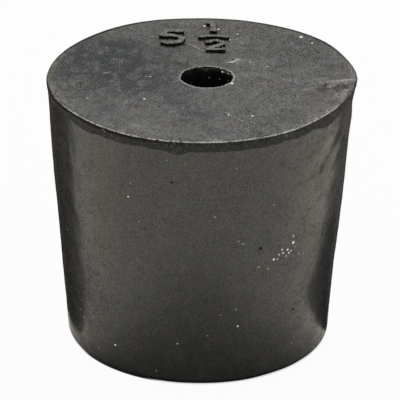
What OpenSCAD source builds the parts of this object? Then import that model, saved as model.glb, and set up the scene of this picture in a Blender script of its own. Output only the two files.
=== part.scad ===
// One-hole rubber stopper, size 5 1/2: a tapered plug moulded in one piece, with a trimmed
// land under its large end and a straight hole that grips a glass tube or a thermometer.
// It stands on its small end. The origin is the centre of that face, and +Z runs to the
// large end.

/* [Plug] */
// Diameter of the large end, over its rounded edge
top_d = 28; // [25:0.5:60]
// Diameter of the small end, over its rounded edge. This end goes into the neck first.
base_d = 24; // [14:0.5:27]
// Length from the small end to the large end
height = 25; // [10:0.5:60]
// Radius of the small end's edge
base_edge_r = 0.5; // [0.1:0.1:2]

/* [Trimmed land] */
// Height of the band under the large end, where the plug was cut out of its moulded sheet
land_h = 0.9; // [0.5:0.1:3]
// How many degrees the cut leans in, below the large end's rounded edge
land_lean = 12; // [2:1:20]
// Radius of the large end's edge
land_edge_r = 0.2; // [0.05:0.05:0.4]

/* [Hole] */
// Diameter of the hole
bore_d = 4.8; // [3:0.1:9]
// How far the hole lies from the plug's axis, towards +X
bore_x = 0.6; // [-1:0.1:1]
// Radius of the worn edge at each mouth of the hole
bore_edge_r = 0.15; // [0.05:0.05:0.5]

/* [Hidden] */
$fn = 128;
rubber = [0.30, 0.29, 0.28];
past = 1; // how far a cutter runs past what it cuts
top_r = top_d / 2;
base_r = base_d / 2;
bore_r = bore_d / 2;
neck_r = top_r - (land_h - land_edge_r) * tan(land_lean); // at the foot of the land

// The waste outside a rounded edge of radius r, whose corner is at the origin and which faces
// +X and +Y
module edge_waste(r) {
    translate([-r, -r])
        difference() {
            square(r + past);
            circle(r);
        }
}

// Half of the plug's section, from its axis to its skin
module plug_section() {
    difference() {
        polygon([
            [0, 0],
            [base_r, 0],
            [base_r, base_edge_r],
            [neck_r, height - land_h],
            [top_r, height - land_edge_r],
            [top_r, height],
            [0, height]
        ]);
        translate([base_r, 0]) mirror([0, 1]) edge_waste(base_edge_r);
        translate([top_r, height]) edge_waste(land_edge_r);
    }
}

// Half of the hole's section, from its own axis to its wall. The wall ends at each mouth in a
// worn edge, which is what is left outside a quarter circle.
module bore_section() {
    mouth = [bore_r + bore_edge_r, bore_edge_r + past];
    difference() {
        union() {
            square([bore_r, height]);
            translate([0, -past]) square(mouth);
            translate([0, height - bore_edge_r]) square(mouth);
        }
        translate([mouth.x, bore_edge_r]) circle(bore_edge_r);
        translate([mouth.x, height - bore_edge_r]) circle(bore_edge_r);
    }
}

module plug() {
    rotate_extrude() plug_section();
}

module bore() {
    translate([bore_x, 0, 0]) rotate_extrude() bore_section();
}

module stopper() {
    color(rubber)
        difference() {
            plug();
            bore();
        }
}

stopper();
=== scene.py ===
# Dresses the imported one-hole rubber stopper: black rubber gone grey with bloom, a dark trimmed
# band under the large end, a raised size number and a ragged hole.
import math
from types import SimpleNamespace

import bmesh
import bpy
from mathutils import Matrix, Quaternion, Vector
from mathutils.kdtree import KDTree


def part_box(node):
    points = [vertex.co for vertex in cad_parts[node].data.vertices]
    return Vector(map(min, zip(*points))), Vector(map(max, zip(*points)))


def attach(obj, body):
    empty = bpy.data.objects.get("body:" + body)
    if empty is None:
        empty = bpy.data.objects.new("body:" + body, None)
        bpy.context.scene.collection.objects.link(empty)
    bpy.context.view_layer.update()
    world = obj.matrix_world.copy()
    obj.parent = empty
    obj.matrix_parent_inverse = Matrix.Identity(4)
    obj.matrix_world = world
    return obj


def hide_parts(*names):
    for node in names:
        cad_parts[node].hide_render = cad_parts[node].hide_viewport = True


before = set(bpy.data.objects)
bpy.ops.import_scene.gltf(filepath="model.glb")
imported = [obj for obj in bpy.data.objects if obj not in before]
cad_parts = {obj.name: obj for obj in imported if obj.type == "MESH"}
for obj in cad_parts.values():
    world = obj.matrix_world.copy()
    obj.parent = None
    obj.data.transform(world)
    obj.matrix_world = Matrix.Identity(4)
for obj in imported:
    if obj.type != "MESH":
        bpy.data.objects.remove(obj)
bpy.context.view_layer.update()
lowCorner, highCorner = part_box("stopper")
topRadius = (highCorner.x - lowCorner.x) / 2
topHeight = highCorner.z
mm = 0.001
touch = 0.01 * mm   # nearer than this, two places count as one
weld = 0.001 * mm   # nearer than this, two vertices are merged


def dropSelection():
    if bpy.context.object and bpy.context.object.mode != "OBJECT":
        bpy.ops.object.mode_set(mode="OBJECT")
    bpy.ops.object.select_all(action="DESELECT")


def chooseOnly(piece):
    dropSelection()
    piece.select_set(True)
    bpy.context.view_layer.objects.active = piece


def openMesh(piece, kind="VERT"):
    # goes into edit mode on one piece, to work on its vertices or its edges
    chooseOnly(piece)
    bpy.ops.object.mode_set(mode="EDIT")
    bpy.ops.mesh.select_mode(type=kind)


def pick(kind, wanted):
    # in edit mode, selects the vertices, edges or faces that wanted() says yes to
    mesh = bmesh.from_edit_mesh(bpy.context.object.data)
    for group in (mesh.faces, mesh.edges, mesh.verts):
        for item in group:
            item.select_set(False)
    found = [item for item in getattr(mesh, kind) if wanted(item)]
    for item in found:
        item.select_set(True)
    bmesh.update_edit_mesh(bpy.context.object.data)
    return len(found)


def applyModifier(piece, kind, **settings):
    bpy.context.view_layer.objects.active = piece
    bpy.ops.object.modifier_add(type=kind)
    added = piece.modifiers[-1]
    for key, value in settings.items():
        setattr(added, key, value)
    bpy.ops.object.modifier_apply(modifier=added.name)


def combine(piece, tool, operation):
    # adds the tool to the piece or cuts it away, and the tool is gone
    applyModifier(piece, "BOOLEAN", object=tool, operation=operation, solver="EXACT")
    bpy.data.objects.remove(tool)


def roughen(piece, grain, height, direction="NORMAL", group="", depth=2):
    # noise of that grain and height, as the mould and the knife leave it
    clouds = bpy.data.textures.new("roughness", "CLOUDS")
    clouds.noise_scale = grain
    clouds.noise_depth = depth
    applyModifier(piece, "DISPLACE", texture=clouds, strength=height, mid_level=0.5,
                  texture_coords="LOCAL", direction=direction, vertex_group=group)


def groupBy(piece, name, weight):
    # a vertex group whose weights are what weight() says of each place
    group = piece.vertex_groups.new(name=name)
    for v in piece.data.vertices:
        value = weight(v.co)
        if value > 0:
            group.add([v.index], value, "REPLACE")
    return name


def fitBox(piece, low, high):
    # moves and stretches a piece's mesh so that it fills the box between two corners
    corners = [Vector(c) for c in piece.bound_box]
    oldLow = Vector([min(c[i] for c in corners) for i in range(3)])
    oldHigh = Vector([max(c[i] for c in corners) for i in range(3)])
    openMesh(piece)
    bpy.ops.mesh.select_all(action="SELECT")
    stretch = [(high[i] - low[i]) / (oldHigh[i] - oldLow[i]) for i in range(3)]
    bpy.ops.transform.resize(value=stretch, center_override=(0, 0, 0))
    bpy.ops.transform.translate(value=[low[i] - oldLow[i] * stretch[i] for i in range(3)])
    bpy.ops.object.mode_set(mode="OBJECT")


def distanceToLine(point, start, end):
    along = end - start
    share = max(0.0, min(1.0, (point - start).dot(along) / along.length_squared))
    return (point - start - along * share).length


def aroundPlug(degrees, radius, height):
    # a point by its angle from the front, to the right
    angle = math.radians(degrees)
    return Vector((radius * math.sin(angle), -radius * math.cos(angle), height))


def turnFrom(co, degrees):
    # how far round the plug a point lies from a place given in degrees
    turn = math.degrees(math.atan2(co.x, -co.y))
    return abs((turn - degrees + 180) % 360 - 180)


def swell(share):
    # 1 where share is 0, 0 where it is 1 or more, smooth between them
    return 0.5 + 0.5 * math.cos(math.pi * min(1, share))


# the plug is an outline turned about the axis
plug = {
    "steps": 580,            # faces round the plug
    "baseRadius": 12 * mm,
    "baseEdge": 0.5 * mm,
    "neckRadius": 13.851 * mm,   # the taper's upper end, which marks on the side are placed by
    "landHeight": 0.8 * mm,
    "landLean": math.radians(12),
    "topEdge": 0.2 * mm,
    "edgeSegments": 4,
    "edgeShare": 0.999,      # of each rounded edge's radius, so that its ends don't meet a corner
    "baseRow": 1.2 * mm,     # spacing of the rows of faces on each stretch
    "sideRow": 0.45 * mm,
    "landRow": 0.1 * mm,
    "rimWidth": 1.2 * mm,    # the outer part of the large end, which has finer rows
    "rimRow": 0.12 * mm,
    "topRow": 0.55 * mm,
    "mouthRow": 0.15 * mm,   # round the hole, between these two distances from the axis
    "mouthZone": (1.4 * mm, 3.4 * mm),
    "onLine": 0.06 * mm,     # an edge this near a stretch of the outline belongs to it
}
# the foot of the trimmed band
footHeight = topHeight - plug["landHeight"]
footRadius = topRadius - (plug["landHeight"] - plug["topEdge"]) * math.tan(plug["landLean"])


def turnPlug():
    inner, outer = plug["mouthZone"]
    corners = [(0, 0), (plug["baseRadius"], 0), (footRadius, footHeight),
               (topRadius, topHeight - plug["topEdge"]), (topRadius, topHeight),
               (topRadius - plug["rimWidth"], topHeight), (outer, topHeight), (inner, topHeight),
               (0, topHeight)]
    rows = [plug["baseRow"], plug["sideRow"], plug["landRow"], None, plug["rimRow"],
            plug["topRow"], plug["mouthRow"], plug["topRow"]]
    dropSelection()
    bpy.ops.mesh.primitive_plane_add(size=mm, location=(0, 0, 0))
    piece = bpy.context.object
    piece.name = "stopper_rubber"
    openMesh(piece)
    bpy.ops.mesh.merge(type="CENTER")
    for (x, z), (nextX, nextZ) in zip(corners, corners[1:]):
        bpy.ops.mesh.extrude_region_move(
            TRANSFORM_OT_translate={"value": (nextX - x, 0, nextZ - z)})
    for x, z, radius in ((plug["baseRadius"], 0, plug["baseEdge"]),
                         (topRadius, topHeight, plug["topEdge"])):
        pick("verts", lambda v: (v.co - Vector((x, 0, z))).length < touch)
        bpy.ops.mesh.bevel(offset=radius * plug["edgeShare"], segments=plug["edgeSegments"],
                           affect="VERTICES")
    for (x, z), (nextX, nextZ), row in zip(corners, corners[1:], rows):
        if row is None:
            continue
        start = Vector((x, 0, z))
        end = Vector((nextX, 0, nextZ))
        cuts = int((end - start).length / row)
        if pick("edges", lambda e: e.calc_length() > 2 * row and all(
                distanceToLine(v.co, start, end) < plug["onLine"] for v in e.verts)):
            bpy.ops.mesh.subdivide(number_cuts=cuts)
    bpy.ops.object.mode_set(mode="OBJECT")
    applyModifier(piece, "SCREW", steps=plug["steps"], render_steps=plug["steps"],
                  use_merge_vertices=True, merge_threshold=weld)
    openMesh(piece)
    bpy.ops.mesh.select_all(action="SELECT")
    bpy.ops.mesh.remove_doubles(threshold=weld)
    bpy.ops.mesh.normals_make_consistent(inside=False)
    bpy.ops.object.mode_set(mode="OBJECT")
    return piece


hole = {
    "centre": Vector((0.6, 0, 0)) * mm,
    "radius": 2.31 * mm,
    "mouthFlare": 0.06 * mm,
    "mouthReach": 1.6 * mm,  # how far down the wall its torn mouth reaches
    "past": 1 * mm,          # how far the cutter runs past each end
    "steps": 170,
    "row": 0.36 * mm,
    "tornReach": 0.4 * mm,   # how far from its edge the rubber is marked by the tearing
    "tornFrom": 0.6 * mm,    # the torn edge strays no further out than this
    "markedTo": 0.8 * mm,    # and the hole's own finish no further than this
    "upright": 0.7,          # a face whose normal rises less than this is the wall's
    # grain and height of the roughness all down the wall, then of that at its mouth
    "roughness": [(0.9 * mm, 0.12 * mm), (0.4 * mm, 0.22 * mm)],
    "mouthRoughness": (0.26 * mm, 0.32 * mm),
}


def cutHole(piece):
    dropSelection()
    length = topHeight + 2 * hole["past"]
    middle = hole["centre"] + Vector((0, 0, topHeight / 2))
    bpy.ops.mesh.primitive_cylinder_add(vertices=hole["steps"], radius=hole["radius"],
                                        depth=length, location=middle)
    tool = bpy.context.object
    bpy.ops.object.transform_apply(location=True, rotation=True, scale=True)
    openMesh(tool)
    pick("edges", lambda e: e.calc_length() > length / 2)
    bpy.ops.mesh.subdivide(number_cuts=int(length / hole["row"]))
    # its two ends are flared from just inside the plug outwards
    wider = 1 + hole["mouthFlare"] / hole["radius"]
    margin = 0.3 * hole["row"]
    pick("verts", lambda v: v.co.z > topHeight - margin or v.co.z < margin)
    bpy.ops.transform.resize(value=(wider, wider, 1), center_override=hole["centre"])
    bpy.ops.object.mode_set(mode="OBJECT")
    mouth = groupBy(tool, "mouth", lambda co: 1 - abs(co.z - topHeight) / hole["mouthReach"])
    for grain, height in hole["roughness"]:
        roughen(tool, grain, height)
    roughen(tool, *hole["mouthRoughness"], group=mouth, depth=3)
    combine(piece, tool, "DIFFERENCE")


# the raised size number, made in millimetres because a voxel in metres can't be this fine
number = {
    "height": 0.36,
    "rooted": 0.6,           # how deep the strokes reach into the plug
    "voxel": 0.06,
    "roughness": (0.33, 0.16),
    "shift": -0.07,
    "overlap": 0.6,          # how much longer a bar is than its two points are apart, in widths
    # a chain of points and its width, each millimetres across and back on the large end
    "strokes": [
        (0.6, [(-1.6, 9.9), (-3.1, 9.95), (-3.45, 8.85), (-2.4, 8.9), (-1.85, 8.6), (-1.6, 8.1),
               (-1.8, 7.45), (-2.35, 7.1), (-2.9, 7.05), (-3.3, 7.35)]),
        (0.5, [(0.75, 7.25), (1.15, 7.65), (1.6, 7.7), (2.0, 7.4), (2.1, 6.95), (1.7, 6.5),
               (1.0, 6.05)]),
        (0.5, [(0.72, 5.65), (2.2, 5.6)]),
        (0.42, [(-0.05, 8.55), (0.7, 8.75), (1.27, 8.8), (1.9, 8.75), (2.6, 8.5)]),
        (0.66, [(1.27, 10.08), (1.27, 12.1)]),
        (0.34, [(0.68, 11.85), (1.05, 12.15)])],
}


def makeStroke(width, points):
    # a chain of short bars from point to point, which the voxels melt into one stroke
    links = []
    for (x, y), (nextX, nextY) in zip(points, points[1:]):
        dropSelection()
        bpy.ops.mesh.primitive_cube_add(size=1)
        link = bpy.context.object
        reach = math.hypot(nextX - x, nextY - y) + number["overlap"] * width
        fitBox(link, (-reach / 2, -width / 2, -number["rooted"]),
               (reach / 2, width / 2, number["height"]))
        link.rotation_euler.z = math.atan2(nextY - y, nextX - x)
        link.location = ((x + nextX) / 2, (y + nextY) / 2, 0)
        chooseOnly(link)
        bpy.ops.object.transform_apply(location=True, rotation=True, scale=True)
        links.append(link)
    return links


def raiseNumber(piece):
    links = []
    for width, points in number["strokes"]:
        links += makeStroke(width, points)
    raised = links[0]
    chooseOnly(raised)
    for link in links:
        link.select_set(True)
    bpy.ops.object.join()
    applyModifier(raised, "REMESH", mode="VOXEL", voxel_size=number["voxel"])
    roughen(raised, *number["roughness"])
    applyModifier(raised, "REMESH", mode="VOXEL", voxel_size=number["voxel"])
    openMesh(raised)
    bpy.ops.mesh.select_all(action="SELECT")
    bpy.ops.transform.resize(value=(mm, mm, mm), center_override=(0, 0, 0))
    bpy.ops.transform.translate(value=(number["shift"] * mm, 0, topHeight))
    bpy.ops.object.mode_set(mode="OBJECT")
    combine(piece, raised, "UNION")
    # the union leaves a few slits along the mouth of the hole
    openMesh(piece, "EDGE")
    if pick("edges", lambda e: len(e.link_faces) == 1):
        bpy.ops.mesh.fill_holes(sides=0)
    bpy.ops.object.mode_set(mode="OBJECT")


wear = {
    "lipEdge": 0.06 * mm,       # the band's marking ends this far below the large end
    "footReach": 0.4 * mm,      # how far above and below the band's foot the raggedness runs
    "footFade": (0.6 * mm, 1.2 * mm),   # how far above and below it a shift of the foot dies out
    # where the band's foot is cut higher or lower: degrees, millimetres up, half width in degrees
    "footShifts": [
        (-8, -0.36, 5), (-48, -0.25, 10), (57, -0.33, 9), (-21, 0.14, 5), (33, 0.13, 4),
        (47, 0.2, 4), (140, -0.2, 11), (-128, 0.15, 9), (-168, -0.25, 6), (100, 0.12, 8)],
    # a line on the large end, its height and its width, in millimetres
    "creases": [
        ((11.0, -2.6), (13.9, -1.75), -0.26, 0.55), ((10.2, -1.75), (13.9, -0.75), 0.2, 0.8),
        ((11.6, -3.6), (13.8, -2.6), 0.1, 0.6)],
    # two places on the side in degrees and height, how far the line between stands out, its width
    "dents": [
        ((71, 21.9), (55, 20.2), -0.05, 1.2), ((66, 22.6), (48, 21.3), 0.04, 1.3),
        ((18, 22.4), (46, 22.0), -0.05, 1.5), ((24, 21.2), (50, 20.4), 0.04, 1.5),
        ((76, 22.9), (90, 22.8), -0.13, 1.6), ((80, 6.5), (84, 4), -0.12, 7),
        ((-62, 3.6), (-54, 3.0), 0.06, 2)],
    # where the large end's lip is pushed out, in degrees, how far and over what reach
    "lipPush": [
        (-95, -0.14, 9), (-56, -0.3, 9), (57, -0.3, 8), (94, 0.2, 5), (178, -0.2, 10),
        (-124, -0.2, 8), (129, 0.2, 8), (77, -0.1, 4)],
    "core": 0.25 * mm,          # what lies this near a line is pushed the whole way
    # how far round the lip is worn soft: middle and half width in degrees
    "softLip": [(-95, 60), (75, 50), (170, 60)],
    "softReach": 0.7 * mm,      # and how far from the lip's corner
    "softPasses": 20,
    "landFade": 0.4 * mm,       # the band is less rough than elsewhere this near the large end
    "skinFade": 1 * mm,         # and the side this near the floor or the band
    # grain and height of the roughness of the band's foot, the band, the whole plug and the side
    "footRoughness": (0.7 * mm, 0.35 * mm),
    "landRoughness": (0.22 * mm, 0.13 * mm),
    "plugRoughness": (6 * mm, 0.1 * mm),
    "skinRoughness": (1.1 * mm, 0.05 * mm),
    "smoothAngle": math.radians(35),
}


def onBand(co):
    return co.xy.length > footRadius - touch and co.z > footHeight - touch


def markPlug(piece):
    # attributes that the finish reads, taken before the wear: whether a place is on the band, its
    # radius, and 1 on the torn edge of the hole, down to 0 at tornReach from it
    names = ("band", "turned", "torn")
    for name in names:
        piece.data.attributes.new(name, "FLOAT", "POINT")
    band, turned, torn = (piece.data.attributes[name] for name in names)
    walls = {corner for face in piece.data.polygons if abs(face.normal.z) < hole["upright"]
             for corner in face.vertices}
    fromHole = {v.index: (v.co - hole["centre"]).xy.length for v in piece.data.vertices}
    edge = [v.co for v in piece.data.vertices if v.index in walls
            and fromHole[v.index] < hole["radius"] + hole["tornFrom"]
            and abs(v.co.z - topHeight) < touch]
    tree = KDTree(len(edge))
    for index, co in enumerate(edge):
        tree.insert(co, index)
    tree.balance()
    for v in piece.data.vertices:
        band.data[v.index].value = onBand(v.co) and v.co.z < topHeight - wear["lipEdge"]
        turned.data[v.index].value = v.co.xy.length
        if fromHole[v.index] < hole["radius"] + hole["tornFrom"] + hole["tornReach"]:
            torn.data[v.index].value = max(0, 1 - tree.find(v.co)[2] / hole["tornReach"])


def softness(co):
    # how much the lip is smoothed here
    fromCorner = math.hypot(math.hypot(co.x, co.y) - topRadius, co.z - topHeight)
    worn = max(swell(turnFrom(co, middle) / half) for middle, half in wear["softLip"])
    return worn * max(0, 1 - fromCorner / wear["softReach"])


def footLift(co):
    # how far the band's foot is cut higher here, in millimetres
    if math.hypot(co.x, co.y) < plug["baseRadius"]:
        return 0
    above, below = wear["footFade"]
    fade = above if co.z > footHeight else below
    lift = sum(rise * swell(turnFrom(co, middle) / half)
               for middle, rise, half in wear["footShifts"])
    return lift * swell(abs(co.z - footHeight) / fade)


def push(points, move, reach):
    # moves what lies near a line of points, and less and less what lies further off
    pick("verts", lambda v: distanceToLine(v.co, *points) < wear["core"])
    bpy.ops.transform.translate(value=move, use_proportional_edit=True,
                                proportional_edit_falloff="SMOOTH", proportional_size=reach)


def dentPlug(piece):
    sideSlope = (footRadius - plug["baseRadius"]) / footHeight
    openMesh(piece)
    for start, end, rise, width in wear["dents"]:
        line = [aroundPlug(turn, footRadius - (footHeight - height * mm) * sideSlope, height * mm)
                for turn, height in (start, end)]
        outward = Vector((line[0].x + line[1].x, line[0].y + line[1].y, 0)).normalized()
        push(line, outward * rise * mm, width * mm)
    for start, end, rise, width in wear["creases"]:
        line = [Vector((x * mm, y * mm, topHeight)) for x, y in (start, end)]
        push(line, (0, 0, rise * mm), width * mm)
    for degrees, outward, width in wear["lipPush"]:
        place = aroundPlug(degrees, topRadius, topHeight - plug["topEdge"])
        push((place, place + Vector((0.1 * mm, 0, 0))), aroundPlug(degrees, outward * mm, 0),
             width * mm)
    bpy.ops.object.mode_set(mode="OBJECT")


def wearPlug(piece):
    markPlug(piece)
    for name, sign in (("higher", 1), ("lower", -1)):
        group = groupBy(piece, name, lambda co: sign * footLift(co))
        applyModifier(piece, "DISPLACE", strength=sign * mm, mid_level=0, direction="Z",
                      vertex_group=group)
    foot = groupBy(piece, "foot", lambda co: 1 - abs(co.z - footHeight) / wear["footReach"])
    lip = groupBy(piece, "lip", softness)
    skin = groupBy(piece, "skin", lambda co: min(1, co.z / wear["skinFade"],
                                                 (footHeight - co.z) / wear["skinFade"]))
    land = groupBy(piece, "land", lambda co: onBand(co) * min(1, (topHeight - co.z) / wear["landFade"]))
    dentPlug(piece)
    applyModifier(piece, "SMOOTH", factor=0.5, iterations=wear["softPasses"], vertex_group=lip)
    roughen(piece, *wear["footRoughness"], direction="Z", group=foot)
    roughen(piece, *wear["landRoughness"], group=land)
    roughen(piece, *wear["plugRoughness"])
    roughen(piece, *wear["skinRoughness"], group=skin)
    chooseOnly(piece)
    bpy.ops.object.shade_smooth_by_angle(angle=wear["smoothAngle"])


print("turning the plug")
plugPiece = turnPlug()
print("cutting the hole")
cutHole(plugPiece)
print("raising the size number")
raiseNumber(plugPiece)
print("wearing the plug")
wearPlug(plugPiece)


class Signal:
    # a node's output, which + - * / and the comparisons below work on
    def __init__(self, paint, socket):
        self.paint = paint
        self.socket = socket

    def __add__(self, other):
        return self.paint.maths("ADD", self, other)

    __radd__ = __add__

    def __sub__(self, other):
        return self.paint.maths("SUBTRACT", self, other)

    def __rsub__(self, other):
        return self.paint.maths("SUBTRACT", other, self)

    def __mul__(self, other):
        return self.paint.maths("MULTIPLY", self, other)

    __rmul__ = __mul__

    def __truediv__(self, other):
        return self.paint.maths("DIVIDE", self, other)

    def most(self, other):
        return self.paint.maths("MAXIMUM", self, other)

    def least(self, other):
        return self.paint.maths("MINIMUM", self, other)

    def root(self):
        return self.paint.maths("SQRT", self, 0)

    def between(self, low, high):
        # 0 below low, 1 above high, smooth between them; the other way round where low is higher
        return self.paint.node("MapRange", {"interpolation_type": "SMOOTHSTEP"},
                               {"Value": self, "From Min": low, "From Max": high})


class Paint:
    # the nodes of a material or of the world
    def __init__(self, owner):
        owner.use_nodes = True
        self.tree = owner.node_tree

    def socketsOf(self, name):
        return self.tree.nodes[name].inputs

    def node(self, kind, settings, inputs, output=0):
        made = self.tree.nodes.new("ShaderNode" + kind)
        for key, value in settings.items():
            setattr(made, key, value)
        for key, value in inputs.items():
            self.feed(made.inputs[key], value)
        return Signal(self, made.outputs[output])

    def feed(self, socket, value):
        if isinstance(value, Signal):
            self.tree.links.new(value.socket, socket)
        else:
            socket.default_value = value

    def maths(self, operation, first, second):
        return self.node("Math", {"operation": operation}, {0: first, 1: second})

    def mix(self, under, over, mask):
        return self.node("Mix", {"data_type": "RGBA"}, {0: mask, 6: under, 7: over}, output=2)

    def noise(self, place, size, detail=2.0, rough=0.5, output=0):
        return self.node("TexNoise", {}, {"Vector": place, "Scale": 1 / size, "Detail": detail,
                                          "Roughness": rough}, output=output)

    def cells(self, place, size, output="Distance"):
        return self.node("TexVoronoi", {}, {"Vector": place, "Scale": 1 / size}, output=output)

    def vector(self, operation, first, second=(0, 0, 0), third=(0, 0, 0)):
        output = 1 if operation in ("LENGTH", "DISTANCE", "DOT_PRODUCT") else 0
        return self.node("VectorMath", {"operation": operation}, {0: first, 1: second, 2: third},
                         output=output)

    def parts(self, vector):
        # the three numbers of a place, a direction or a colour
        split = self.node("SeparateXYZ", {}, {"Vector": vector}).socket.node
        return [Signal(self, socket) for socket in split.outputs]

    def other(self, signal, name):
        # another output of the node that a signal comes from
        return Signal(self, signal.socket.node.outputs[name])

    def attribute(self, name):
        return self.node("Attribute", {"attribute_name": name}, {}, output="Fac")

    def stray(self, place, wander, reach):
        # shifts places by up to reach each way
        return self.vector("MULTIPLY_ADD", wander, (2 * reach,) * 3,
                           self.vector("SUBTRACT", place, (reach,) * 3))

    def spot(self, place, centre, reach):
        # 1 in the middle of a soft patch, 0 at its edge
        away = self.vector("DIVIDE", self.vector("SUBTRACT", place, centre), reach)
        return self.vector("LENGTH", away).between(1, 0.1)

    def scratches(self, place, lines):
        # lines of two points, a width and a strength: as strong as that on it, 0 at the width
        marked = 0.0
        for start, end, width, strength in lines:
            along = end - start
            share = self.vector("DOT_PRODUCT", self.vector("SUBTRACT", place, start),
                                along / along.length_squared).most(0).least(1)
            # Scale takes a plain number. Linked to a vector it would fill three times the room
            # that the renderer has for a material's values, and many lines would use it up.
            step = self.node("VectorMath", {"operation": "SCALE"}, {0: along, "Scale": share})
            away = self.vector("DISTANCE", place, self.vector("ADD", start, step))
            marked = (away.between(width * mm, 0.2 * width * mm) * strength).most(marked)
        return marked

    def specks(self, place, points):
        # 1 on small round specks, each a place and a radius
        nearest = 9.0   # in radii, and further off than any speck shows
        for point, radius in points:
            nearest = (self.vector("DISTANCE", place, point) / radius).least(nearest)
        return nearest.between(1.1, 0.8)


rubber = {
    "end": (0.0925, 0.0905, 0.0830, 1),   # the bloomed large end
    "endBareAndShade": (0.028, 0.030, 0.0305, 1), # where the bloom has rubbed off, and painted shade along each crease
    "endBlue": (0.047, 0.050, 0.057, 1),
    "endPale": (0.152, 0.147, 0.132, 1),
    "endBrown": (0.086, 0.070, 0.056, 1),
    "endPurple": (0.088, 0.083, 0.086, 1),
    "endGreen": (0.089, 0.0915, 0.080, 1),
    "rim": (0.135, 0.122, 0.094, 1),      # the yellowed, worn lip
    "rimPale": (0.19, 0.172, 0.155, 1),
    "strokeTop": (0.19, 0.183, 0.165, 1),
    "edge": (0.34, 0.325, 0.295, 1),      # its front edge: a painted highlight of the rounded edge, and rubbed pale
    # pale scratches, and the painted highlight on the crease
    "scratchAndHighlight": (0.40, 0.38, 0.345, 1),
    "mouth": (0.30, 0.285, 0.26, 1),      # round the hole
    "side": (0.0266, 0.0269, 0.0245, 1),
    "sideBare": (0.020, 0.0205, 0.0185, 1),
    "sideWarmAndSheen": (0.046, 0.036, 0.028, 1),
    "sideYellow": (0.053, 0.047, 0.032, 1),
    "sideBlue": (0.026, 0.031, 0.034, 1),
    "sideEdgeSheen": (0.064, 0.051, 0.042, 1),
    "sideGreen": (0.022, 0.027, 0.0215, 1),
    "sidePaintedLight": (0.082, 0.072, 0.061, 1),
    "cut": (0.033, 0.033, 0.031, 1),      # the trimmed band
    "cutPale": (0.11, 0.105, 0.092, 1),
    # near black, for painted shade: in folds, at the foot, under the lip, on the walls of the number's
    # strokes, down the hole and in pits
    "paintedShade": (0.001, 0.001, 0.001, 1),
    "dust": (0.92, 0.91, 0.89, 1),
    "faintDust": (0.22, 0.21, 0.2, 1),
}

bloom = {
    # soft patches of the large end: x, y, reach along x and y in millimetres, and strength
    "bare": [(-8.5, 3, 11, 12, 1.0), (-8.5, 5, 5, 6, 0.4), (-5, -1.5, 5, 5, 0.4),
             (3, 10.5, 6, 3, 0.25), (9, 7, 5, 5, 0.5), (-1.5, 3.5, 3, 2, 0.2)],
    "blue": [
        (-2.3, -5.2, 2.6, 2.6, 0.9), (-0.4, -7.8, 2.4, 1.8, 0.9), (-8.2, -7.2, 2, 1.6, 0.5),
        (4.5, 7, 3, 2, 0.5), (2, -12, 3, 1.2, 0.5), (-11, 1.6, 1.5, 2, 0.5),
        (-10, 7.2, 1.3, 1, 0.5), (8.5, -5, 2.5, 1, 0.3), (11, -3.6, 1.5, 0.5, 0.5)],
    "pale": [
        (-5.6, -7.2, 2.2, 1.6, 0.6), (-6.5, -5.4, 1.6, 0.8, 0.4), (3.6, 8.3, 2.6, 2.2, 0.35),
        (1.2, 8, 3, 4, 0.3), (-3, 9.2, 2.4, 2.2, 0.2), (-5.5, -11, 4, 1.8, 0.4),
        # the patches at x from 12.2 to 13.2 are painted highlights on the crease at the right
        (3, 3.7, 1.6, 0.6, 0.6), (6, 0, 5, 5, 0.15), (13.2, -2.9, 0.9, 0.6, 0.9),
        (11, -7.5, 2, 2.4, 0.4), (12.6, -1.1, 1.6, 0.9, 1.0), (12.8, -1.2, 1.0, 0.5, 1.0),
        (12.2, -4.4, 1.8, 0.9, 0.7), (-9, 10, 2, 1.3, 0.3)],
    "brown": [
        (11, -5.5, 2.5, 4, 0.35), (1.5, 9, 4.5, 4.5, 0.3), (-7.2, 9.8, 2, 1.5, 0.6),
        (4, 11.4, 1.8, 1.4, 0.8), (0.6, 12.4, 1.4, 0.8, 0.6), (-4.3, 9, 1.1, 0.9, 0.6),
        (1.2, 11.4, 2.5, 1.4, 0.4), (12.8, 3, 1, 3, 0.5)],
}

# fine scratches of the large end, and painted highlights on its crease: start and end in millimetres,
# width and strength
scratches = [
    ((-2.60, -7.69), (-1.42, -6.77), 0.07, 0.45), ((2.29, -7.60), (3.78, -9.57), 0.07, 0.5),
    ((-1.02, 7.54), (0.32, 5.88), 0.09, 0.75), ((3.8, -9.6), (5.2, -9.9), 0.06, 0.3),
    ((9.6, -4.6), (12.9, -4.2), 0.08, 0.2), ((-12.3, -8.0), (-11.3, -7.2), 0.07, 0.3),
    ((-3.0, -6.9), (-1.9, -6.6), 0.06, 0.3), ((1.5, -4), (4.2, -7.4), 0.05, 0.14),
    ((-8.1, 4.1), (-7.1, 3.5), 0.06, 0.25), ((5, -11.2), (8, -9.6), 0.06, 0.18),
    ((-1.6, 7.9), (-1.0, 7.5), 0.07, 0.4), ((2.83, 3.35), (3.51, 4.09), 0.24, 0.9),
    ((2.5, 3.3), (3.0, 3.4), 0.2, 0.7), ((-4.9, 0.1), (-4.4, 0.0), 0.12, 0.7),
    ((-8.7, 0.7), (-8.1, 0.95), 0.14, 0.6), ((3.3, -9.2), (3.9, -9.3), 0.08, 0.6),
    # the five lines from (12.4, -1.1) to (13.6, -2.9) are painted highlights on the ridge and facets of
    # the crease at the right
    ((12.4, -1.1), (13.8, -0.65), 0.45, 0.85), ((11.5, -1.9), (12.1, -1.6), 0.25, 0.5),
    ((11.6, -1.3), (12.6, -0.9), 0.5, 0.35), ((12.9, -2.7), (13.8, -2.3), 0.3, 0.6),
    ((12.2, -3.9), (13.6, -2.9), 0.6, 0.25), ((9.2, -2.7), (10.4, -2.2), 0.2, 0.25),
    ((10.2, -0.4), (11.6, 0), 0.25, 0.2)]
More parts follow.
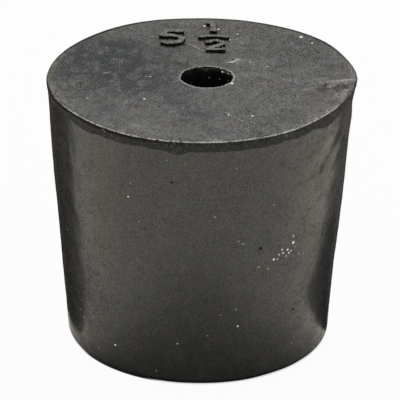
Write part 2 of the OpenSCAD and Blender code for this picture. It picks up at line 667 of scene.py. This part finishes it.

# low folds under the lip, a painted highlight beside a painted shadow: degrees and height, width and
# strength
foldHighlights = [
    ((45.0, 20.4), (52.0, 21.5), 0.9, 0.18), ((59.7, 22.0), (67.0, 22.6), 0.6, 0.4),
    ((61.4, 18.8), (62.4, 16.2), 0.7, 0.14), ((67.0, 22.9), (73.0, 23.6), 1.0, 0.22),
    ((52.0, 21.5), (59.7, 22.0), 0.5, 0.15), ((68.0, 20.8), (72.0, 22.0), 0.6, 0.2),
    ((-60.0, 2.6), (-56.0, 1.8), 0.9, 0.25)]
foldShadows = [
    ((54.0, 19.7), (60.5, 20.75), 0.65, 0.65), ((60.5, 20.75), (66.5, 21.8), 0.55, 0.5),
    ((47.3, 19.4), (54.0, 19.7), 0.5, 0.3), ((39.0, 19.2), (47.3, 19.4), 0.35, 0.35),
    ((62.5, 19.0), (72.0, 20.8), 0.6, 0.5), ((54.0, 23.6), (60.0, 22.6), 0.9, 0.3),
    ((58.0, 19.9), (62.0, 19.2), 0.7, 0.3), ((60.0, 23.6), (66.0, 23.0), 0.7, 0.35)]

# upright yellowed streaks of the side, given as the folds are
stains = [
    ((-47, 23.5), (-47, 13), 3, 0.4), ((-47, 13), (-49, 3.5), 3, 0.12),
    ((-38, 23), (-40, 12), 2, 0.2), ((58, 20), (52, 12), 2.4, 0.2), ((51, 12), (55, 4), 2.4, 0.35)]

# painted shade along the groove of each crease of the large end, listed as the scratches are
creaseShadows = [((11.0, -2.95), (13.8, -2.05), 0.3, 0.8), ((12.2, -1.75), (13.8, -1.35), 0.14, 0.6)]

# specks of dust: on the large end by x and y, on the side by degrees and height, and the radius
dust = {
    "end": [
        (9.29, 9.30, 0.17), (10.29, 7.86, 0.1), (-4.93, -4.86, 0.11), (-9.99, -4.73, 0.06),
        (6.06, 2.39, 0.07), (4.63, -8.37, 0.1), (12.98, -1.30, 0.12), (12.27, -1.22, 0.07),
        (4.51, 3.38, 0.07), (0.38, 11.73, 0.12), (1.65, 10.97, 0.11), (1.97, 6.53, 0.13),
        (2.71, 8.51, 0.09), (3.43, 9.88, 0.08), (2.53, -8.20, 0.08)],
    "endFaint": [
        (-6.0, -4.9, 0.07), (-3.4, -4.5, 0.08), (-3.9, -5.0, 0.07), (11.7, -1.8, 0.09),
        (7.6, 3.2, 0.07), (-7.1, -7.6, 0.08), (9.8, -8.6, 0.08), (-4.34, 9.27, 0.09),
        (-8.1, -4.83, 0.1), (-7.27, -1.05, 0.08), (-5.61, -2.67, 0.08), (-6.29, -3.38, 0.09),
        (-11.32, -5.23, 0.08), (-2.35, 4.1, 0.07), (1.9, 9.6, 0.08)],
    "band": [
        (-37.8, 24.75, 0.1), (-36.9, 24.62, 0.09), (-38.6, 24.6, 0.07), (65, 24.62, 0.11),
        (66, 24.72, 0.07), (63.8, 24.55, 0.06), (43.2, 24.2, 0.1), (44.2, 24.22, 0.09),
        (14.5, 24.7, 0.06), (33, 24.55, 0.06), (-55, 24.4, 0.08), (-4, 24.5, 0.05)],
    "side": [
        (39.9, 14.07, 0.08), (40.1, 13.38, 0.15), (34.7, 13.02, 0.09), (37.5, 12.85, 0.11),
        (39.3, 12.62, 0.08), (35.3, 12.64, 0.09), (38.3, 12.48, 0.09), (33.4, 12.59, 0.07),
        (37.0, 12.21, 0.06), (31.0, 12.25, 0.11), (32.7, 12.19, 0.06), (-27.6, 18.73, 0.09),
        (-37.8, 2.78, 0.1), (16.4, 5.99, 0.09), (-8.7, 4.32, 0.06), (-48.3, 1.68, 0.05)],
    "faint": [
        (28.6, 11.4, 0.12), (43.7, 12.01, 0.1), (46.2, 11.77, 0.1), (-26.5, 20.1, 0.08),
        (24.4, 11.82, 0.12), (17.2, 14.47, 0.12), (15.5, 14.8, 0.08), (41.2, 12.89, 0.08),
        (6, 17.45, 0.1), (-23.5, 16.42, 0.09), (15.3, 7.76, 0.09), (9, 7.31, 0.07),
        (3.8, 5.21, 0.08), (-18.1, 1.18, 0.09), (29.5, 17.9, 0.08), (-12, 23.0, 0.08),
        (-60, 4.6, 0.08), (-58.5, 5.7, 0.07), (-62, 3.7, 0.07), (-57, 4.1, 0.09), (-63, 6.4, 0.06),
        (-66, 12.2, 0.08), (-71, 9.6, 0.07), (66, 4.9, 0.06), (68, 3.9, 0.07), (64, 6.5, 0.06),
        (71, 5.6, 0.06), (62, 11.2, 0.06), (59, 13.6, 0.06), (74, 12.5, 0.07)],
    "pits": [(24.7, 13.72, 0.16), (-10.2, 20.83, 0.12), (42.9, 6.28, 0.12), (-40, 22.07, 0.13)],
    "endPits": [(2.95, 3.95, 0.15), (4.34, -7.52, 0.09)],
    "mouth": [(2.85, -1.35, 0.14)],
    # in the hole, by x, y and height
    "flakes": [(2.0, 1.86, 24.74, 0.11), (2.51, 1.34, 24.76, 0.07)],
    "inside": [
        (2.25, 1.66, 24.76, 0.09), (2.4, 1.5, 24.76, 0.07), (2.66, 1.15, 24.78, 0.08),
        (2.78, 0.95, 24.8, 0.07), (0.85, 2.35, 23.91, 0.1), (1.75, 2.06, 23.90, 0.08),
        (2.55, 1.32, 24.05, 0.09), (-0.80, 1.90, 23.49, 0.08)],
}

# the layers of noise by the size of their grain, and what the rubber does with light
surface = {
    "wander": 1.1 * mm,
    "wanderReach": 1.2 * mm,   # how far it strays the clouds and patches
    "dustReach": 0.06 * mm,    # and the specks, so that they aren't round
    "rubbed": 4 * mm,
    "clouds": 2 * mm,
    "tint": 1.3 * mm,
    "mottle": 0.5 * mm,
    "fine": 0.2 * mm,
    "grain": 0.1 * mm,
    "hair": 0.16 * mm,
    "hairTurns": (0.5, -0.9, 1.9),   # which ways the hair-fine lines lie, in radians
    "cell": 1.7 * mm,          # spacing of the stray specks, and of those of the large end
    "endCell": 0.9 * mm,
    "shadedFoot": (0.1 * mm, 0.7 * mm),   # painted shade darkens the side below these heights
    "coatRoughness": 0.22,
    "coatIor": 1.62,
    "specular": 0.12,
    "bumpStrength": 0.5,
    "bumpHeight": 0.06 * mm,
}

# where a region begins and where it is whole, in height from the large end
heights = {
    "end": (-0.5 * mm, -0.35 * mm),
    "inHole": (-0.12 * mm, -0.2 * mm),
    "shadeUnderLip": (-0.42 * mm, -0.28 * mm),   # painted shade on the top of the band under the lip, and its darkest painted line
    "shadeLipLine": (-0.12 * mm, -0.08 * mm),
    "shadedStrokeWall": (0.02 * mm, 0.06 * mm),
    "strokeTop": (0.12 * mm, 0.25 * mm),
}

# and how far in from the rim of the large end
rims = {
    "yellowed": (0.9 * mm, 0.4 * mm),
    "pale": (0.7 * mm, 0.4 * mm),
    # at the front: flecks, then the bright edge, painted highlight of the rounded edge as well as wear
    "flecksAndGlint": (1.3 * mm, 0.2 * mm),
    "rubbed": (0.18 * mm, 0.1 * mm),
    "outline": 0.11 * mm,      # the painted shade line's place at the side, and how much further in
    "outlineBack": 0.4 * mm,   # it lies at the back
    "outlineSoft": 0.03 * mm,
}


def onEnd(x, y):
    return Vector((x * mm, y * mm, topHeight))


def onSide(degrees, height):
    share = height * mm / footHeight
    radius = plug["baseRadius"] * (1 - share) + plug["neckRadius"] * share
    return aroundPlug(degrees, radius, height * mm)


def inHole(x, y, height):
    return Vector((x, y, height)) * mm


def placeLines(where, lines):
    return [(where(*start), where(*end), width, strength) for start, end, width, strength in lines]


def placeSpecks(where, *kinds):
    return [(where(*spot[:-1]), spot[-1] * mm) for kind in kinds for spot in dust[kind]]


def reached(z, name):
    begins, whole = heights[name]
    return z.between(topHeight + begins, topHeight + whole)


def inFromRim(at, name):
    begins, whole = rims[name]
    return at.turned.between(topRadius - begins, topRadius - whole)


def survey(paint):
    # what the finish asks about each place of the plug
    place = paint.node("TexCoord", {}, {}, output="Object")
    x, y, z = paint.parts(place)
    radius = (x * x + y * y).root()
    right = x / radius   # -1 on the left, 1 on the right
    back = y / radius    # -1 at the front, 1 at the back
    tilt = paint.parts(paint.node("NewGeometry", {}, {}, output="Normal"))[2]
    steep = tilt.between(0.75, 0.4)
    awayX = x - hole["centre"].x
    fromHole = (awayX * awayX + y * y).root()
    holed = steep.most(reached(z, "inHole"))
    holed = holed * fromHole.between(hole["radius"] + hole["markedTo"], hole["radius"] + hole["tornFrom"])

    # most of the noise is drawn out along y, the way the rubber was rubbed
    wander = paint.noise(place, surface["wander"], detail=3.0, rough=0.6, output=1)
    warped = paint.stray(place, wander, surface["wanderReach"])
    drawn = paint.vector("MULTIPLY", place, (1, 0.5, 1))
    return SimpleNamespace(
        place=place, z=z, right=right, back=back, steep=steep, holed=holed,
        onTop=reached(z, "end"),
        cut=paint.attribute("band").between(0.3, 0.6),
        turned=paint.attribute("turned"), torn=paint.attribute("torn"),
        fromFloor=z.between(*surface["shadedFoot"]),
        foldHighlight=paint.scratches(place, placeLines(onSide, foldHighlights)),
        foldShade=paint.scratches(place, placeLines(onSide, foldShadows)),
        pits=paint.specks(place, placeSpecks(onSide, "pits") + placeSpecks(onEnd, "endPits")),
        wander=wander, drawn=drawn, flat=paint.vector("MULTIPLY", warped, (1, 1, 0)),
        clouds=paint.noise(warped, surface["clouds"], detail=3.0, rough=0.6),
        rubbed=paint.noise(place, surface["rubbed"]),
        mottle=paint.noise(drawn, surface["mottle"], detail=3.0, rough=0.65),
        fine=paint.noise(drawn, surface["fine"], rough=0.6),
        grain=paint.noise(drawn, surface["grain"], detail=1.0, rough=0.7),
        tint=paint.noise(drawn, surface["tint"], detail=1.0))


def paintOver(paint, colour, *layers):
    # lays colours of the rubber over one another, each by its name and how strong it is
    for name, strength in layers:
        colour = paint.mix(colour, rubber[name], strength)
    return colour


def paintEnd(paint, at, marks):
    # the large end: its bloom and the bare, blue, brown and pale patches in it, some of them painted
    # highlights on the crease, then its rim: yellowed on the left, pale on the right, and at the front
    # flecks and then a bright edge, both painted highlight of the rounded edge as well as wear
    bare = (marks["bare"] + (at.clouds - 0.5) * 0.8).most(0).least(1)
    patches = [(colour, (marks[kind] * (least + more * at.mottle)).least(1))
               for kind, colour, least, more in (("blue", "endBlue", 0.4, 1.2),
                                                 ("brown", "endBrown", 0.1, 1.6),
                                                 ("pale", "endPale", 0.2, 1.4))]
    yellowed = inFromRim(at, "yellowed") * at.right.between(-0.86, -0.95)
    pale = inFromRim(at, "pale") * at.right.between(0.5, 0.9) * at.back.between(0.4, -0.1)
    # painted highlight of the rounded edge at the front, with wear: flecks, then a bright line
    flecksAndGlint = inFromRim(at, "flecksAndGlint") * at.back.between(-0.3, -0.6)
    rubbed = inFromRim(at, "rubbed") * at.back.between(-0.25, -0.65)
    return paintOver(paint, rubber["end"], ("endBareAndShade", bare), *patches,
                     ("endPurple", at.tint.between(0.54, 0.66) * 0.7),
                     ("endGreen", at.tint.between(0.46, 0.34) * 0.5),
                     ("rim", yellowed * (0.1 + at.mottle)),
                     ("rimPale", pale * (0.1 + at.mottle)),
                     ("edge", flecksAndGlint * at.mottle.between(0.5, 0.75) * 0.3),
                     ("edge", rubbed * (at.mottle + at.fine - 0.5).between(0.2, 0.5)))


def paintSide(paint, at):
    # the tapered side: uneven tints, painted sheen in strips at its far left and right, a painted lit
    # patch on the right, stains, the painted highlight and shadow of its folds, and painted shade at the
    # foot
    bluish = at.right.between(0.8, 0.9) * at.right.between(0.98, 0.95)
    bluish = bluish * at.z.between(21 * mm, 17 * mm) * at.clouds.between(0.35, 0.6)
    # a painted lit patch on the right of the side
    pale = paint.spot(at.place, onSide(50, 17), Vector((5, 6, 7)) * mm)
    stained = paint.scratches(at.place, placeLines(onSide, stains))
    side = paintOver(paint, rubber["side"],
                     ("sideBare", at.clouds.between(0.45, 0.75) * 0.6),
                     ("sideWarmAndSheen", at.tint.between(0.5, 0.66) * 0.4),
                     ("sideGreen", at.tint.between(0.5, 0.34) * 0.8),
                     # painted sheen in narrow strips at the far left and right of the side
                     ("sideWarmAndSheen", at.right.between(-0.93, -0.985) * 0.6),
                     ("sideEdgeSheen", at.right.between(-0.95, -0.975) * 0.9),
                     ("sideEdgeSheen", at.right.between(0.955, 0.98) * 0.6),
                     ("sideBlue", bluish * 0.7), ("sidePaintedLight", pale * 0.4),
                     ("sideYellow", stained * (0.3 + at.tint)),
                     # painted highlight and painted shadow of the folds
                     ("sidePaintedLight", at.foldHighlight), ("paintedShade", at.foldShade))
    # painted shade at the foot
    return paint.mix(rubber["paintedShade"], side, 0.2 + 0.8 * at.fromFloor)


def paintBand(paint, at):
    # the trimmed band, with painted shade below the lip, most on the left
    bright = (at.fine + at.mottle).between(1.05, 1.4) * at.grain.between(0.3, 0.6)
    # painted shade under the lip
    under = reached(at.z, "shadeUnderLip") * (0.3 + 0.68 * at.right.between(-0.2, -0.5))
    return paintOver(paint, rubber["cut"], ("cutPale", bright * 0.5),
                     ("paintedShade", under.most(reached(at.z, "shadeLipLine") * 0.6)))


def lipShadeLine(at):
    # painted shade along the rim of the large end, where its rounded edge turns away, further in the
    # further back it lies
    inset = rims["outline"] + at.back.between(0, 0.8) * rims["outlineBack"]
    line = (at.turned - topRadius + inset).between(-rims["outlineSoft"], rims["outlineSoft"])
    return line * at.back.between(-0.36, -0.22) * at.onTop


def shadeGrain(paint, at, marks):
    # how much lighter or darker each grain is than the colour under it
    shade = (at.grain - 0.5) * 1.6 + (at.fine - 0.5) * 0.9 + (at.mottle - 0.5) * 0.35
    rougher = 0.15 + 0.9 * at.rubbed.between(0.4, 0.6) + 0.9 * marks["bare"]
    shade = 1 + shade * (1 + at.onTop * rougher + 0.3 * at.cut)
    shade = shade + at.onTop * ((at.mottle - 0.5) * 1.3 + (at.clouds - 0.5) * 1.6 - 0.03)
    flanks = (1 - at.onTop) * at.right.between(0.8, 0.93).most(at.right.between(-0.78, -0.9))
    shade = shade + flanks * ((at.mottle - 0.5) * 1.6 + (at.clouds - 0.5) * 1.3)
    for turn in surface["hairTurns"]:
        laid = paint.node("VectorRotate", {"rotation_type": "Z_AXIS"},
                          {"Vector": at.place, "Angle": turn})
        laid = paint.vector("MULTIPLY", laid, (0.12, 1, 1))
        hairs = paint.noise(laid, surface["hair"], detail=1.0)
        shade = shade + at.onTop * hairs.between(0.62, 0.74) * 0.3
    return paint.node("CombineXYZ", {}, {0: shade, 1: shade, 2: shade})


def scoreEnd(paint, at, colour):
    # scratches and painted crease highlights of the large end, painted shade along each crease, the
    # number's strokes with painted shade on their walls and down the hole, and the torn mouth of the hole
    # painted shade along the groove of each crease
    creaseShade = paint.scratches(at.place, placeLines(onEnd, creaseShadows))
    scoredAndHighlit = paint.scratches(at.place, placeLines(onEnd, scratches))
    strokes = reached(at.z, "strokeTop") * (at.fine + at.mottle - 0.5).between(0.25, 0.75)
    # painted shade on the walls of the number's strokes and down the hole
    walls = at.steep * reached(at.z, "shadedStrokeWall")
    walls = walls.most(at.holed * (1 - 0.3 * at.tint.between(0.5, 0.7)))
    ragged = at.torn.between(0.55, 0.75) * (1 - at.steep) * (0.3 + at.fine.between(0.35, 0.6))
    ragged = ragged + at.torn.between(0.5, 0.9) * at.steep * at.fine.between(0.5, 0.65) * 0.6
    return paintOver(paint, colour, ("endBareAndShade", creaseShade),
                     ("scratchAndHighlight", scoredAndHighlit * (0.2 + at.fine.between(0.3, 0.6))),
                     ("strokeTop", strokes), ("paintedShade", walls), ("mouth", ragged.least(1)))


def layDust(paint, at, colour):
    cells = paint.cells(at.place, surface["cell"])
    chosen = paint.parts(paint.other(cells, "Color"))[0]
    stray = cells.between(0.06, 0.03) * chosen.between(0.7, 0.75)
    cells = paint.cells(at.drawn, surface["endCell"])
    onEndOnly = cells.between(0.09, 0.04) * at.onTop * at.mottle.between(0.45, 0.6) * 0.6
    faint = placeSpecks(onSide, "faint", "band") + placeSpecks(onEnd, "endFaint")
    faint = paint.specks(at.place, faint).most(onEndOnly.most(stray)) * (1 - at.holed)
    inside = paint.specks(at.place, placeSpecks(inHole, "inside"))
    bright = placeSpecks(onEnd, "end", "mouth") + placeSpecks(onSide, "side")
    bright += placeSpecks(inHole, "flakes")
    shaken = paint.stray(at.place, at.wander, surface["dustReach"])
    # painted shade in the pits
    return paintOver(paint, colour, ("faintDust", faint.most(inside)), ("paintedShade", at.pits),
                     ("dust", paint.specks(shaken, bright)))


def polish(paint, at):
    # how glossy the side is: uneven by its grain, most of all on the right, and dull where worn
    gloss = 0.82 + 1.5 * (at.grain - 0.5) + 0.6 * (at.fine - 0.5) + 0.35 * (at.mottle - 0.5)
    uneven = at.right.between(0.35, 0.8).most(at.right.between(-0.5, -0.85) * 0.6)
    gloss = gloss + (0.35 + uneven) * (at.clouds - 0.5) + uneven * (at.mottle - 0.5)
    worn = paint.spot(at.place, onSide(-50, 7), Vector((3.5, 4, 5.5)) * mm)
    worn = worn + 0.35 * paint.spot(at.place, onSide(-54, 13), Vector((3, 4, 6)) * mm)
    gloss = gloss + 0.6 * at.foldHighlight - 0.5 * at.foldShade - 0.35 * worn - at.pits
    return (1 - at.onTop) * (1 - at.cut) * (1 - at.holed) * at.fromFloor * gloss.most(0).least(1)


def paintRubber(piece):
    material = bpy.data.materials.new("blackRubber")
    paint = Paint(material)
    at = survey(paint)
    marks = {}
    for kind, patches in bloom.items():
        marks[kind] = 0.0
        for x, y, reachX, reachY, strength in patches:
            patch = paint.spot(at.flat, Vector((x, y, 0)) * mm, (reachX * mm, reachY * mm, 1))
            marks[kind] = patch * strength + marks[kind]

    colour = paint.mix(paintSide(paint, at), paintEnd(paint, at, marks), at.onTop)
    colour = paint.mix(colour, paintBand(paint, at), at.cut.most(lipShadeLine(at)))
    colour = paint.vector("MULTIPLY", colour, shadeGrain(paint, at, marks))
    colour = scoreEnd(paint, at, colour)
    colour = layDust(paint, at, colour)

    shader = paint.socketsOf("Principled BSDF")
    paint.feed(shader["Base Color"], colour)
    paint.feed(shader["Roughness"], 0.5 + 0.2 * at.mottle)
    paint.feed(shader["Coat Weight"], polish(paint, at))
    shader["Coat Roughness"].default_value = surface["coatRoughness"]
    shader["Coat IOR"].default_value = surface["coatIor"]
    shader["Specular IOR Level"].default_value = surface["specular"]
    bump = paint.node("Bump", {}, {"Strength": surface["bumpStrength"],
                                   "Distance": surface["bumpHeight"],
                                   "Height": at.grain + at.mottle})
    paint.feed(shader["Normal"], bump)
    piece.data.materials.clear()
    piece.data.materials.append(material)


print("painting the rubber")
paintRubber(plugPiece)
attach(plugPiece, "root")
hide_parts("stopper")


studio = {
    "floorColour": (0.6, 0.6, 0.6, 1),
    "worldLight": 0.6,
    "floorSize": 4,
    # a painted shadow on the floor that only reflections see, dark in the rubber near its foot: from how
    # far out it is light, and how much nearer that is at the front
    "reflectedShadow": (5 * mm, 16 * mm),
    "poolReach": 0.6,
    # painted dark patches of the floor that only reflections see, standing in for dark cards behind the
    # object: how dark, how far out they reach in millimetres, and for each edge a point on it and the way
    # across it, towards the card
    "cards": [(1.0, 99, [((-21.1, -1.5), (0.424, 0.906)), ((-15, -4.0), (0, 1)),
                         ((-12.9, 0), (-1, 0))]),
              (0.9, 99, [((22.5, -3.5), (-0.74, 0.675)), ((13.6, -1.8), (0.28, 0.96)),
                         ((0, 0), (1, 0))]),
              (1.0, 36, [((22.5, -3.5), (-0.74, 0.675)), ((13.6, -1.8), (0.28, 0.96)),
                         ((14.0, 3.5), (0.85, -0.53)), ((0, 0), (1, 0))]),
              (1.0, 99, [((12.9, -1.8), (-0.96, 0.28)), ((-12.9, -1.8), (0.96, 0.28)),
                         ((0, 2), (0, 1))])],
    "cardSoft": 1.0 * mm,
    "cardFade": (1.15, 0.85),            # where it ends outwards, in parts of its reach
    "reflected": (1, 0.925, 0.835, 1),   # the floor's colour as the rubber reflects it
    "shown": 0.95,                       # how much of the plain white the camera sees
    # a painted shadow on the floor where the foot meets it: how far inside the foot it begins and is
    # whole, between which places on the left it is strong, and how strong it is elsewhere and there
    "contactShadow": (0.08 * mm, 0.2 * mm),
    "contactRight": (-3 * mm, -5 * mm),
    "contactLeft": (-11 * mm, -9.8 * mm),
    "contactStrength": (0.3, 0.68),
    "target": Vector((0, 0, 12)) * mm,
    "lights": {
        # azimuth from the front to the right, elevation, distance, size in metres, strength
        "overhead": (180, 65, 0.5, 0.4, 1.2),
        "left": (-62, 20, 0.5, 0.3, 0.3),
        "right": (58, 22, 0.5, 0.3, 0.4),
    },
}


def layFloor():
    dropSelection()
    bpy.ops.mesh.primitive_plane_add(size=studio["floorSize"], location=(0, 0, 0))
    floor = bpy.context.object
    floor.name = "floor"
    material = bpy.data.materials.new("floorPaint")
    paint = Paint(material)
    shader = paint.socketsOf("Principled BSDF")
    shader["Base Color"].default_value = studio["floorColour"]
    shader["Roughness"].default_value = 0.9
    shader["Specular IOR Level"].default_value = 0
    rays = paint.node("LightPath", {}, {}, output="Is Camera Ray")
    glossy = paint.other(rays, "Is Glossy Ray")
    whole = rays.most(paint.other(rays, "Is Transmission Ray"))
    x, y = paint.parts(paint.node("TexCoord", {}, {}, output="Object"))[:2]
    away = (x * x + y * y).root()
    # painted shadow on the floor, for reflections only
    reflectedShadow = (away + studio["poolReach"] * y).between(*studio["reflectedShadow"])
    ends, begins = studio["cardFade"]
    dark = 0.0
    # painted dark patches, seen only in reflections
    for strength, reach, edges in studio["cards"]:
        card = strength * away.between(ends * reach * mm, begins * reach * mm)
        for (pointX, pointY), (acrossX, acrossY) in edges:
            inside = (x - pointX * mm) * acrossX + (y - pointY * mm) * acrossY
            card = inside.between(-0.5 * studio["cardSoft"], 0.5 * studio["cardSoft"]) * card
        dark = card.most(dark)
    # a painted shadow round the foot, strongest at the front left
    begins, full = (plug["baseRadius"] - inset for inset in studio["contactShadow"])
    onLeft = x.between(*studio["contactRight"]) * x.between(*studio["contactLeft"])
    least, more = studio["contactStrength"]
    contactShadow = away.between(begins, full) * (least + more * onLeft * y.between(0, -1 * mm))
    light = whole * (1 - contactShadow) + glossy * reflectedShadow * (1 - dark)
    colour = paint.mix((1, 1, 1, 1), studio["reflected"], glossy)
    white = paint.node("Emission", {}, {"Color": paint.vector("MULTIPLY", colour, light)})
    shown = paint.node("MixShader", {}, {
        0: (whole * studio["shown"]).most(glossy),
        1: Signal(paint, paint.tree.nodes["Principled BSDF"].outputs[0]), 2: white})
    paint.feed(paint.socketsOf("Material Output")["Surface"], shown)
    floor.data.materials.append(material)


def hangLights():
    for name, (azimuth, elevation, distance, size, strength) in studio["lights"].items():
        turn = math.radians(azimuth)
        rise = math.radians(elevation)
        outward = Vector((math.sin(turn) * math.cos(rise), -math.cos(turn) * math.cos(rise),
                          math.sin(rise)))
        dropSelection()
        bpy.ops.object.light_add(type="AREA", location=studio["target"] + outward * distance)
        light = bpy.context.object
        light.name = name
        light.rotation_euler = (-outward).to_track_quat("-Z", "Y").to_euler()
        light.data.size = size
        light.data.energy = strength


def lightWorld():
    # white to the camera and in reflections, and a plain grey light on everything
    world = bpy.data.worlds.new("studio")
    bpy.context.scene.world = world
    paint = Paint(world)
    rays = paint.node("LightPath", {}, {}, output="Is Camera Ray")
    seen = rays.most(paint.other(rays, "Is Glossy Ray"))
    strength = paint.node("MapRange", {}, {"Value": seen, "To Min": studio["worldLight"]})
    background = paint.socketsOf("Background")
    background["Color"].default_value = (1, 1, 1, 1)
    paint.feed(background["Strength"], strength)


camera = {
    "elevation": math.radians(25.698),
    "distance": 350 * mm,
    "focalPixels": 3830.4,
    "frameWidth": 400,
    "sensor": 36,
    "roll": math.radians(0.401),
    "aim": Vector((0.067, 0, 12.721)) * mm,
    "nearest": 0.01,
}


def placeCamera():
    dropSelection()
    outward = Vector((0, -math.cos(camera["elevation"]), math.sin(camera["elevation"])))
    bpy.ops.object.camera_add(location=camera["aim"] + outward * camera["distance"])
    eye = bpy.context.object
    facing = (-outward).to_track_quat("-Z", "Y") @ Quaternion((0, 0, 1), camera["roll"])
    eye.rotation_euler = facing.to_euler()
    eye.data.sensor_width = camera["sensor"]
    eye.data.lens = camera["focalPixels"] * camera["sensor"] / camera["frameWidth"]
    eye.data.clip_start = camera["nearest"]
    bpy.context.scene.camera = eye


print("laying the floor, hanging the lights and placing the camera")
layFloor()
hangLights()
lightWorld()
placeCamera()
bpy.context.scene.view_settings.view_transform = "Standard"
